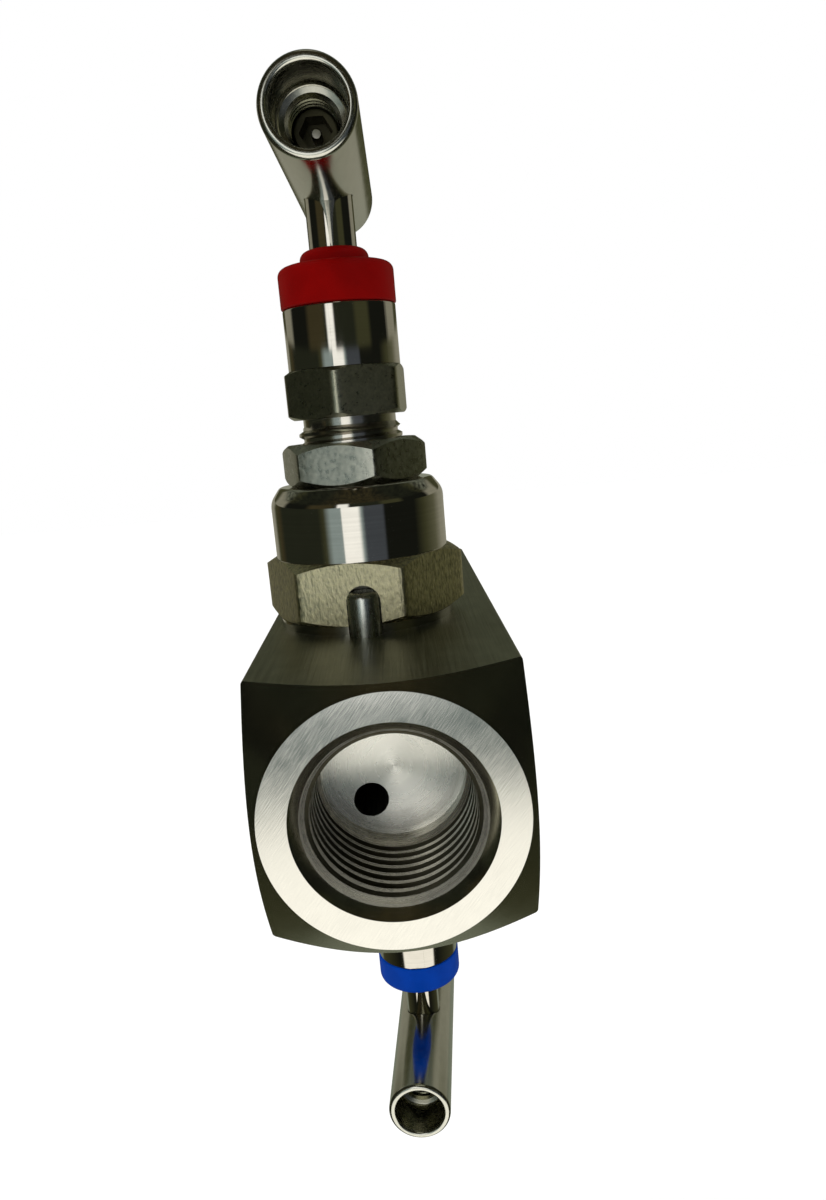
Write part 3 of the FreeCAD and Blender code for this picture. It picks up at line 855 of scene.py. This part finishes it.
def dress(made, shader, pattern, colour, shade, rough, relief, bump, deep):
    """Let a pattern lead colour and roughness, and a relief the bump.

    The colour falls by the shade where the pattern is low, the roughness runs
    between its two ends, and the bump is so many millimetres deep.
    """
    links = made.node_tree.links
    dark = [part * (1 - shade) for part in colour] + [1]
    tint = blend(made, spread(made, pattern, 0.0, 1.0), dark, list(colour) + [1])
    links.new(tint, shader.inputs["Base Color"])
    links.new(spread(made, pattern, *rough), shader.inputs["Roughness"])
    raised = add(made, "ShaderNodeBump", {"Height": relief, "Strength": bump, "Distance": deep * mm})
    links.new(raised.outputs[0], shader.inputs["Normal"])


def steel(name, lines, blotches, rough, bump, anisotropic=0.0, axis=None, colour=steel_colour, shade=0.12,
          deep=0.02, metallic=1.0):
    """Stainless steel with a line pattern, given as a function that returns its coordinates.

    Three fifths of the pattern are its lines and the rest is cloud. A little less
    than fully metallic stands for scratches so rough that they only scatter light.
    """
    made, shader = fresh(name)
    fine = noise(made, lines(made), 3.0)
    cloud = noise(made, even(blotches)(made), 4.0)
    three_fifths = math_node(made, "MULTIPLY", fine, 0.6)
    both = math_node(made, "ADD", three_fifths, math_node(made, "MULTIPLY", cloud, 0.4))
    dress(made, shader, both, colour, shade, rough, fine, bump, deep)
    shader.inputs["Metallic"].default_value = metallic
    if axis:
        ring = add(made, "ShaderNodeTangent", direction_type="RADIAL", axis=axis)
        made.node_tree.links.new(ring.outputs[0], shader.inputs["Tangent"])
        shader.inputs["Anisotropic"].default_value = anisotropic
        shader.inputs["Anisotropic Rotation"].default_value = across_lines
    return made


def finish(piece, *choices):
    """Give faces their finish: each choice is a material and a test on centres, in millimetres, and normals.

    The first choice covers what no test picks, and a later choice goes over an
    earlier one.
    """
    faces = piece.data.polygons
    centres = np.empty(len(faces) * 3)
    normals = np.empty(len(faces) * 3)
    faces.foreach_get("center", centres)
    faces.foreach_get("normal", normals)
    centres = centres.reshape(-1, 3) / mm
    normals = normals.reshape(-1, 3)
    index = np.zeros(len(faces), dtype=np.int32)
    piece.data.materials.clear()
    for number, (made, test) in enumerate(choices):
        piece.data.materials.append(made)
        if number:
            index[test(centres, normals)] = number
    faces.foreach_set("material_index", index)
    print(piece.name, [int((index == n).sum()) for n in range(len(choices))], "faces by finish")


# %% Finishes of the bar
# Near-black colour painted on the front port's thread flanks and roots, as the shade in its grooves.
thread_shade_colour = (0.07, 0.066, 0.045)
# Dark colour painted on the pins' slots as the shade inside them, over the grain that the milling leaves.
slot_shade_colour = (0.22, 0.215, 0.18)
port_axis = (0, 0, 0)
bar_flats = steel("bar_ground", lambda m: straight(m, (2.5, 0.06, 2.5)), 0.25, (0.3, 0.46), 1.0,
                  colour=(0.44, 0.45, 0.37), shade=0.45, deep=0.06)
bar_cone = steel("bar_turned_cone", rings(port_axis, 1, 3), 0.4, (0.16, 0.22), 0.05, 0.3, "Y",
                 colour=(0.46, 0.45, 0.36))
bar_ring = steel("bar_faced_ring", lambda m: straight(m, (7, 7, 0.45), (0, 38, 0)), 0.4, (0.12, 0.18), 0.22,
                 colour=(0.7, 0.69, 0.645), shade=0.1)
port_wall = steel("port_turned", rings(port_axis, 1, 4), 0.5, (0.2, 0.34), 0.4, 0.4, "Y",
                  colour=(0.66, 0.64, 0.55), shade=0.3, metallic=0.8)
port_lip = steel("port_bevel", rings(port_axis, 1, 4), 0.5, (0.12, 0.2), 0.1, 0.3, "Y",
                 colour=(0.6, 0.58, 0.48), shade=0.2)
# The thread's flanks and roots get a painted shade, near black, over fine rings.
thread_painted_shade = steel("port_thread_painted_shade", rings(port_axis, 1, 4), 1.0, (0.35, 0.45), 0.2, colour=thread_shade_colour,
                   shade=0.3)
port_floor = steel("port_floor", rings(port_axis, 1, 2), 0.5, (0.22, 0.3), 0.06, 0.8, "Y",
                   colour=(0.9, 0.89, 0.82), shade=0.1, metallic=0.78)
side_port = steel("side_port_turned", rings((0, vent_place[1], 0), 0, 5), 0.5, (0.2, 0.3), 0.1,
                  colour=(0.4, 0.39, 0.34))


def from_port_axis(centres):
    """Distance of each face from the axis of the front port."""
    return np.hypot(centres[:, 0], centres[:, 2])


def in_front_port(c):
    """Faces of the front port, without its floor."""
    inside = (c[:, 1] > 0.005) & (c[:, 1] < front_port["depth"] - 0.02)
    return inside & (from_port_axis(c) < front_port["mouth_r"])


def in_front_thread(c, n):
    """Faces of the front port's thread that are painted dark as shade: its flanks and its root."""
    return (in_front_port(c) & (c[:, 1] > front_port["entry_depth"]) & (c[:, 1] < front_port["thread_end"])
            & ((np.abs(n[:, 1]) > 0.3) | (from_port_axis(c) > front_port["crest_r"] + 0.3)))


def in_side_port(c):
    """Faces of the vent port."""
    return ((c[:, 0] > bar_half - vent_port["depth"] - 0.3) & (c[:, 0] < bar_half - 0.01)
            & (np.hypot(c[:, 1] - vent_place[1], c[:, 2]) < vent_port["mouth_r"] + 0.1))


finish(
    bar,
    (bar_flats, None),
    (bar_cone, lambda c, n: (from_port_axis(c) > ring_face_r) & (np.abs(n[:, 1]) > 0.3)),
    (bar_ring, lambda c, n: (c[:, 1] < 0.01) | ((np.abs(c[:, 1] - bar_length) < 0.01) & (n[:, 1] > 0.99))),
    (port_wall, lambda c, n: in_front_port(c) | (c[:, 1] > bar_length + 0.01)),
    (port_lip, lambda c, n: in_front_port(c) & (c[:, 1] < front_port["mouth_r"] - front_port["entry_r"])),
    (thread_painted_shade, in_front_thread),
    (port_floor, lambda c, n: (from_port_axis(c) < front_port["bore_r"]) & (n[:, 1] < -0.9)
     & (np.abs(c[:, 1] - front_port["depth"]) < floor_dish + 0.1)),
    (side_port, lambda c, n: in_side_port(c)),
)


# %% Finishes of the valves
def valve_steels(valve):
    """The steels of one valve, whose rings run about its stem and whose lines follow its handle."""
    stem = (valves[valve]["centre"][0], valves[valve]["centre"][1], 0)
    grip = (stem[0], stem[1], valves[valve]["up"] * handle_axis)
    turn = (0, 0, valves[valve]["handle_turn"] * valves[valve]["up"])

    def made(name, *looks, **more):
        """Steel named for this valve."""
        return steel(valve + "_" + name, *looks, **more)

    def handle(*stretch):
        """Coordinates for lines along the handle bar."""
        return lambda m: straight(m, stretch, turn, grip)

    return {
        "polished": made("polished", rings(stem, 2, 3), 0.4, (0.05, 0.08), 0.012, 0.2, "Z"),
        "hexagon": made("hexagon", lambda m: straight(m, (2.6, 2.6, 1.2)), 1.2, (0.3, 0.5), 1.0,
                        colour=(0.86, 0.8, 0.52), shade=0.6, deep=0.08),
        # The slot's steel: a real grain, and a dark colour that is painted shade.
        "milled_slot_shade": made("milled_slot_shade", even(4), 1.0, (0.3, 0.42), 0.2, colour=slot_shade_colour),
        "nut": made("nut_satin", even(1.5), 1.3, (0.24, 0.4), 1.0, colour=(0.52, 0.53, 0.46), shade=0.4,
                    deep=0.03),
        "satin": made("gland_satin", even(3), 1.2, (0.26, 0.38), 0.6, colour=(0.46, 0.46, 0.35), shade=0.3,
                      deep=0.025),
        "mirror": made("mirror", rings(stem, 2, 3), 0.3, (0.03, 0.06), 0.01),
        "pin": made("pin", lambda m: straight(m, (4, 4, 0.5)), 1.0, (0.24, 0.34), 0.1,
                    colour=(0.62, 0.64, 0.6)),
        "thread": made("thread", rings(stem, 2, 4), 1.0, (0.12, 0.2), 0.05),
        "grip": made("grip_satin", handle(1.2, 0.3, 1.2), 0.5, (0.15, 0.21), 0.02, colour=(0.56, 0.56, 0.5)),
        # The sockets' walls are darker than the grip: painted shade inside the bores, over real lines along
        # the bar.
        "socket": made("socket_bored_painted_shade", handle(0.6, 3, 0.6), 0.8, (0.2, 0.32), 0.12, colour=(0.38, 0.38, 0.27),
                       shade=0.4),
        "step": made("socket_step", handle(1, 1, 1), 0.8, (0.16, 0.24), 0.1, colour=(0.46, 0.45, 0.38),
                     shade=0.3),
        "screw": made("screw", even(3), 1.0, (0.3, 0.45), 0.2, colour=(0.06, 0.057, 0.035)),
        "screw_pin": made("screw_pin", even(3), 1.0, (0.3, 0.45), 0.1, colour=(0.42, 0.41, 0.36)),
    }


def moulded(name, colour):
    """Satin moulded plastic: a fine orange peel and a slightly cloudy gloss."""
    made, shader = fresh(name)
    peel = noise(made, even(2.5)(made))
    cloud = noise(made, even(0.3)(made), 3.0)
    dress(made, shader, cloud, colour, 0.14, (0.42, 0.52), peel, 0.15, 0.05)
    shader.inputs["Specular IOR Level"].default_value = 0.04
    return made


cap_plastic = {"vent": moulded("red_cap_plastic", (0.215, 0.0008, 0.0005)),
               "block": moulded("blue_cap_plastic", (0.0002, 0.05, 0.4))}


def from_handle_axis(valve, centres):
    """Distance of each face from the axis of the handle bar, and its place along it."""
    up = valves[valve]["up"]
    turn = math.radians(valves[valve]["handle_turn"])
    c, s = math.cos(turn), math.sin(turn)
    x = up * (centres[:, 0] - valves[valve]["centre"][0])
    y = centres[:, 1] - valves[valve]["centre"][1]
    return np.hypot(c * x + s * y, up * centres[:, 2] - handle_axis), c * y - s * x


def from_front_flat(valve, centres):
    """Depth of each face behind the bonnet flat that has the slot."""
    way = -math.pi / 2 + math.radians(bonnet_hex_turn)
    x = valves[valve]["up"] * (centres[:, 0] - valves[valve]["centre"][0])
    y = centres[:, 1] - valves[valve]["centre"][1]
    return bonnet_flats / 2 - (x * math.cos(way) + y * math.sin(way))


for valve, parts in shown.items():
    steels = valve_steels(valve)
    up = valves[valve]["up"]
    mid = valves[valve]["centre"]

    def hexed(base, top):
        """Test for the flats between two heights, outside the gland's thread."""
        return lambda c, n: ((up * c[:, 2] > base + 0.01) & (up * c[:, 2] < top - 0.01)
                             & (np.hypot(c[:, 0] - mid[0], c[:, 1] - mid[1]) > gland_hole_r))

    def slotted(c, n):
        """Faces of the pin's slot, behind the flat that it is cut into; they get the slot's painted shade."""
        return ((np.abs(c[:, 0] - mid[0]) < slot_r + 0.01) & (c[:, 1] < mid[1] - slot_depth_r + 0.01)
                & (up * c[:, 2] < slot_arch + slot_r + 0.01) & (from_front_flat(valve, c) > 0.1))

    def socket(c, n):
        """Faces of the two sockets in the handle's ends."""
        radius, along = from_handle_axis(valve, c)
        return (radius < socket_r + 0.02) & (np.abs(along) < grip_half - bore_round - 0.01)

    def step(c, n):
        """Faces of the sockets' stepped floors."""
        return socket(c, n) & (np.abs(np.abs(from_handle_axis(valve, c)[1]) - step_floor) < 0.45)

    finish(parts["bonnet"], (steels["polished"], None), (steels["hexagon"], hexed(hex_base, hex_top)),
           (steels["milled_slot_shade"], slotted))
    finish(parts["gland"], (steels["polished"], None),
           (steels["satin"], hexed(gland_hex_base, gland_hex_top)),
           (steels["thread"], lambda c, n: up * c[:, 2] < gland_hex_base))
    finish(parts["grip"], (steels["grip"], None), (steels["socket"], socket), (steels["step"], step))
    finish(parts["screw"], (steels["screw"], None),
           (steels["screw_pin"], lambda c, n: from_handle_axis(valve, c)[0] < pin_r + 0.02))
    for part, made in (("pin", steels["pin"]), ("nut", steels["nut"]), ("stem", steels["mirror"]),
                       ("cap", cap_plastic[valve])):
        finish(parts[part], (made, None))

# %% Finishes of what is hidden inside
plain_steel = steel("washer_steel_plain", even(4), 1.0, (0.3, 0.4), 0.1)


def pressed(name, colour, rough):
    """Pressed polymer: chalky, with a fine fibre."""
    made, shader = fresh(name)
    fibre = noise(made, straight(made, (3, 3, 8)), 3.0)
    dress(made, shader, fibre, colour, 0.12, (rough, rough + 0.1), fibre, 0.2, 0.02)
    return made


hidden = {"washer_steel": plain_steel, "stem_steel": plain_steel,
          "packing": pressed("packing_polymer", (0.86, 0.85, 0.8), 0.55),
          "seal": pressed("seal_polymer", (0.8, 0.79, 0.74), 0.5)}
slots = {row["node"]: row["material_slot"] for row in frame["record"]["subparts"]}
redrawn = ("body", "bonnet", "lock_pin", "lock_nut", "gland", "dust_cap", "spindle", "handle_bar",
           "handle_screw")
for name, slot in slots.items():
    if name.split("_", 1)[1] not in redrawn:
        inner = bpy.data.objects[name]
        inner.data.materials.clear()
        inner.data.materials.append(hidden[slot])
        print(name, slot)

# %% [markdown]
# ## Floor, light and the tent
#
# Steel has no colour of its own worth speaking of: it shows what stands round it.
# A photographer therefore puts such a piece into a tent of white sheets and dark
# cards, and the bands that run up the barrels are those cards. Here the tent is a
# round shell that only reflections can see. Plain soft lamps light the plastic,
# and the pale floor and the world make the white behind it all.

# %% The world and the floor
white_level = 1.0
ambient = 0.4


def seen_directly(tree):
    """One for camera, glossy and transmission rays, zero for the rays that light things."""
    path = add(tree, "ShaderNodeLightPath").outputs
    total = math_node(tree, "MAXIMUM", path["Is Camera Ray"], path["Is Glossy Ray"])
    return math_node(tree, "MAXIMUM", total, path["Is Transmission Ray"])


world = bpy.data.worlds.new("studio")
scene.world = world
world.use_nodes = True
backdrop = world.node_tree.nodes["Background"]
backdrop.inputs["Color"].default_value = (1, 1, 1, 1)
strength = add(world, "ShaderNodeMapRange", {"Value": seen_directly(world), "To Min": ambient,
                                             "To Max": white_level}).outputs[0]
world.node_tree.links.new(strength, backdrop.inputs["Strength"])

floor_height = -0.25
floor_half = 3.0
floor_x, floor_y = np.meshgrid([-floor_half, floor_half], [-floor_half, floor_half])
floor = make_piece("floor", [np.stack([floor_x, floor_y, np.full_like(floor_x, floor_height)], axis=-1)])
floor_paint, shader = fresh("floor_paint")
mottle = noise(floor_paint, even(0.02)(floor_paint))
floor_paint.node_tree.links.new(spread(floor_paint, mottle, 0.86, 0.9), shader.inputs["Roughness"])
shader.inputs["Base Color"].default_value = (0.9, 0.9, 0.89, 1)
shader.inputs["Specular IOR Level"].default_value = 0.1
shader.inputs["Emission Color"].default_value = (1, 1, 1, 1)
floor_lift = math_node(floor_paint, "MULTIPLY", seen_directly(floor_paint), 0.2)
floor_paint.node_tree.links.new(floor_lift, shader.inputs["Emission Strength"])
floor.data.materials.append(floor_paint)
floor.visible_glossy = False

# %% The tent round the valve
tent_centre = (0.0, 35.0, 0.0)
tent_r = 1200.0
tent_gain = 1.6
latitudes = np.linspace(-math.pi / 2, math.pi / 2, 49)
tent_rows = np.round(np.stack([tent_r * np.cos(latitudes), tent_r * np.sin(latitudes)], axis=-1), 9)
tent = make_piece("tent", [(carried(tent_rows, round_plan(96)) + np.array(tent_centre)) * mm], sharp=60)

white = (1.5, 1.5, 1.46)
cream = (1.48, 1.44, 1.32)
slate = (0.36, 0.44, 0.44)
gap_slate = (0.14, 0.18, 0.175)
dim_slate = (0.075, 0.085, 0.1)
black = (0.024, 0.027, 0.017)
deep = (0.011, 0.012, 0.009)
brown = (0.06, 0.05, 0.024)
olive = (0.062, 0.063, 0.03)
khaki = (0.14, 0.14, 0.085)
grey_green = (0.24, 0.26, 0.2)
beige = (0.5, 0.48, 0.39)
dull_beige = (0.32, 0.31, 0.24)


def both_sides(half):
    """Cards for the whole round from those right of the front."""
    return [(-angle, tone) for angle, tone in reversed(half)] + half


level_cards = [(-180, grey_green), (-165, dull_beige), (-145, dull_beige), (-136, olive), (-127, brown),
               (-116, black), (-52, black), (-44, olive), (-35, slate), (-21, slate), (-20, white),
               (1, white), (5, slate), (9, dim_slate), (33, dim_slate), (36, deep), (80, deep), (98, olive),
               (120, khaki), (138, dull_beige), (165, dull_beige), (180, grey_green)]
low_cards = both_sides([(45, cream), (50, black), (60, deep), (128, olive), (139, grey_green),
                        (180, grey_green)])
high_cards = [(-180, olive), (-146, olive), (-138, dull_beige), (-116, dull_beige), (-108, deep), (-72, deep),
              (-62, brown), (-34, brown), (-27, black), (-24, white), (-12, white), (-9, black), (28, black),
              (36, olive), (58, olive), (66, deep), (106, deep), (114, dull_beige), (138, dull_beige),
              (146, olive), (180, olive)]
crown_cards = both_sides([(30, brown), (60, black), (95, black), (110, olive), (125, grey_green),
                          (180, grey_green)])
print("tent of", len(tent.data.polygons), "faces")

# %% The tent's cloth
tent_cloth = bpy.data.materials.new("tent_cloth")
tent_cloth.use_nodes = True
tent_cloth.node_tree.nodes.clear()


def plain_tone(tone):
    """Tone divided by the tent's gain."""
    return [part / tent_gain for part in tone] + [1]


def cards_round(made, bearing, cards):
    """Colour ramp round the tent from (bearing, tone) pairs, with bearings in degrees right of the front."""
    sockets = {"Value": bearing, "From Min": -180.0, "From Max": 180.0}
    ramp = add(made, "ShaderNodeValToRGB", {0: add(made, "ShaderNodeMapRange", sockets).outputs[0]})
    spots = ramp.color_ramp.elements
    while len(spots) < len(cards):
        spots.new(1.0)
    for spot, (angle, tone) in zip(spots, cards):
        spot.position = angle / 360 + 0.5
    for spot, (angle, tone) in zip(spots, cards):
        spot.color = plain_tone(tone)
    return ramp.outputs[0]


def stacked(made, height, start, stop, below, above):
    """One tone below a height and another above it, in degrees, with a soft join."""
    sockets = {"Value": height, "From Min": start, "From Max": stop}
    share = add(made, "ShaderNodeMapRange", sockets, interpolation_type="SMOOTHSTEP").outputs[0]
    return blend(made, share, below, above)


from_middle = straight(tent_cloth, (1, 1, 1), place=tent_centre)
right, back, top = add(tent_cloth, "ShaderNodeSeparateXYZ", {0: from_middle}).outputs
front = math_node(tent_cloth, "MULTIPLY", back, -1.0)
bearing = math_node(tent_cloth, "DEGREES", math_node(tent_cloth, "ARCTAN2", right, front))
rise = math_node(tent_cloth, "DIVIDE", top, tent_r)
height = math_node(tent_cloth, "DEGREES", math_node(tent_cloth, "ARCSINE", rise))
level_light = cards_round(tent_cloth, bearing, level_cards)
in_front = add(tent_cloth, "ShaderNodeMapRange", {"Value": math_node(tent_cloth, "ABSOLUTE", bearing),
                                                  "From Min": 48.0, "From Max": 42.0}).outputs[0]
gap_light = blend(tent_cloth, in_front, level_light, plain_tone(gap_slate))
rough_cloud = noise(tent_cloth, straight(tent_cloth, (0.02, 0.005, 0.02)), 3.0)
crown_light = blend(tent_cloth, spread(tent_cloth, rough_cloud, 0.0, 1.0, 0.3, 0.66), plain_tone(deep),
                    cards_round(tent_cloth, bearing, crown_cards))
tent_light = cards_round(tent_cloth, bearing, low_cards)
for start, stop, above in ((-25.0, -21.0, gap_light), (-17.0, -14.5, level_light),
                           (8.3, 9.8, cards_round(tent_cloth, bearing, high_cards)),
                           (22.0, 32.0, crown_light), (78.0, 86.0, plain_tone(beige))):
    tent_light = stacked(tent_cloth, height, start, stop, tent_light, above)
glow = add(tent_cloth, "ShaderNodeEmission", {"Color": tent_light, "Strength": tent_gain})
add(tent_cloth, "ShaderNodeOutputMaterial", {"Surface": glow.outputs[0]})
tent.data.materials.append(tent_cloth)
tent_cloth.cycles.emission_sampling = "NONE"
for ray in ("camera", "diffuse", "shadow", "transmission", "volume_scatter"):
    setattr(tent, "visible_" + ray, False)

# %% Soft lamps for the plastic
def soft_sun(name, bearing_degrees, height_degrees, spread_degrees, strength):
    """Broad far lamp that lights but isn't mirrored, from a bearing right of the front and a height."""
    data = bpy.data.lights.new(name, "SUN")
    data.energy = strength
    data.angle = math.radians(spread_degrees)
    made = bpy.data.objects.new(name, data)
    scene.collection.objects.link(made)
    b, h = math.radians(bearing_degrees), math.radians(height_degrees)
    way = Vector((math.sin(b) * math.cos(h), -math.cos(b) * math.cos(h), math.sin(h)))
    made.rotation_euler = way.to_track_quat("Z", "Y").to_euler()
    made.visible_camera = False
    made.visible_glossy = False
    print(name, [round(part, 2) for part in way])


soft_sun("lamp_front_left", -34, 50, 30, 1.2)
soft_sun("lamp_front_right", 45, 30, 40, 0.45)
soft_sun("lamp_overhead", 0, 82, 60, 0.75)

# %% [markdown]
# ## The camera
#
# The lens, place and tilt were fitted to the outlines of the bar, the port and the
# handles. It stands very close, hardly nine centimetres in front of the bar, which
# is why the front looms so large and the rear valve is so much smaller.

# %% Place the camera
focal_length = 26.732
nearest = 0.005
camera_place = (0.00316, -0.09064, 0.04377)
yaw, pitch, roll = (math.radians(angle) for angle in (0.61, 11.78, -4.91))
ahead_way = Vector((math.sin(yaw) * math.cos(pitch), math.cos(yaw) * math.cos(pitch), -math.sin(pitch)))
right_way = Vector((math.cos(yaw), -math.sin(yaw), 0))
up_way = right_way.cross(ahead_way)
right_rolled = right_way * math.cos(roll) + up_way * math.sin(roll)
up_rolled = up_way * math.cos(roll) - right_way * math.sin(roll)
lens = bpy.data.cameras.new("camera")
lens.lens = focal_length
lens.clip_start = nearest
camera = bpy.data.objects.new("camera", lens)
scene.collection.objects.link(camera)
axes = Matrix((right_rolled, up_rolled, -ahead_way)).transposed()
camera.matrix_world = Matrix.Translation(camera_place) @ axes.to_4x4()
scene.camera = camera
